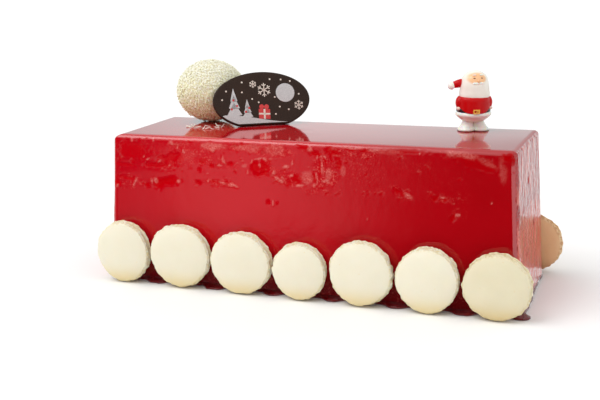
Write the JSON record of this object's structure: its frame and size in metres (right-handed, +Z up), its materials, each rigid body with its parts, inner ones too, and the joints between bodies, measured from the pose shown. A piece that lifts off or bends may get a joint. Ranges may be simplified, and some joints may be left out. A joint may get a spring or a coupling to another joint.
{
  "type": "yule log cake",
  "caption": "Bar-shaped festive cake with a mirror glaze, macarons standing along both sides, a coconut ball, a leaning oval plaque and a small winter figurine on top.",
  "frame": {"origin": "middle of the whole footprint at table level", "axes": "+X along the log to its right, +Y away from its front, +Z up"},
  "size_m": [0.3034, 0.1138, 0.1449],
  "materials": {
    "glaze": "mirror glaze, deep red, wet gloss",
    "macaron_shell": "dry matt almond meringue, cream white",
    "filling": "satin pale butter cream",
    "coconut": "rough coat of fine coconut flakes",
    "chocolate": "tempered dark chocolate with a printed motif",
    "ceramic": "glazed and painted ceramic"
  },
  "bodies": {
    "root": {"log": "glaze", "front_macaron_1_inner_shell": "macaron_shell", "front_macaron_1_filling": "filling", "front_macaron_1_outer_shell": "macaron_shell", "front_macaron_2_inner_shell": "macaron_shell", "front_macaron_2_filling": "filling", "front_macaron_2_outer_shell": "macaron_shell", "front_macaron_3_inner_shell": "macaron_shell", "front_macaron_3_filling": "filling", "front_macaron_3_outer_shell": "macaron_shell", "front_macaron_4_inner_shell": "macaron_shell", "front_macaron_4_filling": "filling", "front_macaron_4_outer_shell": "macaron_shell", "front_macaron_5_inner_shell": "macaron_shell", "front_macaron_5_filling": "filling", "front_macaron_5_outer_shell": "macaron_shell", "front_macaron_6_inner_shell": "macaron_shell", "front_macaron_6_filling": "filling", "front_macaron_6_outer_shell": "macaron_shell", "front_macaron_7_inner_shell": "macaron_shell", "front_macaron_7_filling": "filling", "front_macaron_7_outer_shell": "macaron_shell", "back_macaron_1_inner_shell": "macaron_shell", "back_macaron_1_filling": "filling", "back_macaron_1_outer_shell": "macaron_shell", "back_macaron_2_inner_shell": "macaron_shell", "back_macaron_2_filling": "filling", "back_macaron_2_outer_shell": "macaron_shell", "back_macaron_3_inner_shell": "macaron_shell", "back_macaron_3_filling": "filling", "back_macaron_3_outer_shell": "macaron_shell", "back_macaron_4_inner_shell": "macaron_shell", "back_macaron_4_filling": "filling", "back_macaron_4_outer_shell": "macaron_shell", "back_macaron_5_inner_shell": "macaron_shell", "back_macaron_5_filling": "filling", "back_macaron_5_outer_shell": "macaron_shell", "back_macaron_6_inner_shell": "macaron_shell", "back_macaron_6_filling": "filling", "back_macaron_6_outer_shell": "macaron_shell", "back_macaron_7_inner_shell": "macaron_shell", "back_macaron_7_filling": "filling", "back_macaron_7_outer_shell": "macaron_shell", "ball": "coconut", "plaque": "chocolate", "figurine": "ceramic"}
  },
  "joints": []
}
